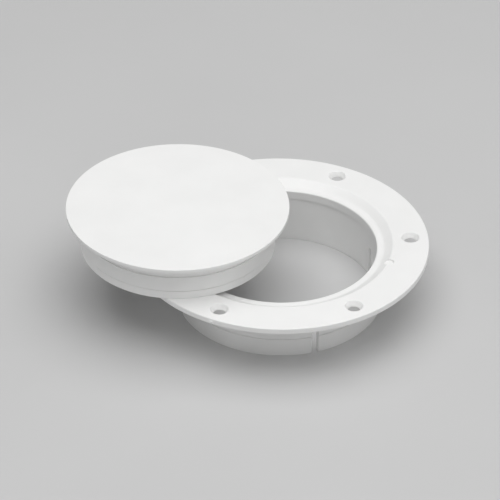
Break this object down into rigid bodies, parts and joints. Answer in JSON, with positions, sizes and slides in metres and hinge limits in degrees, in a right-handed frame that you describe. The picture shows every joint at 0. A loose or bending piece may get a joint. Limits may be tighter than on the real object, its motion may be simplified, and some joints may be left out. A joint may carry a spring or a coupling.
{
  "type": "deck inspection plate",
  "caption": "Round plastic deck inspection plate: a screw-down ring with a dished seat and a slotted collar, and its pry-out lid with a hollow snap-in skirt, lying open on top.",
  "frame": {"origin": "on the ring's axis, in the plane of the flange's underside, where the ring meets the deck", "axes": "+Z along the ring's axis, up out of the deck; the lid lies towards -X, so X is the longest extent"},
  "size_m": [0.1896, 0.156, 0.0575],
  "materials": {
    "white_plastic": "moulded white plastic, glossy, with a faint orange-peel surface"
  },
  "bodies": {
    "root": {"deck_ring": "white_plastic", "lid": "white_plastic"}
  },
  "joints": []
}
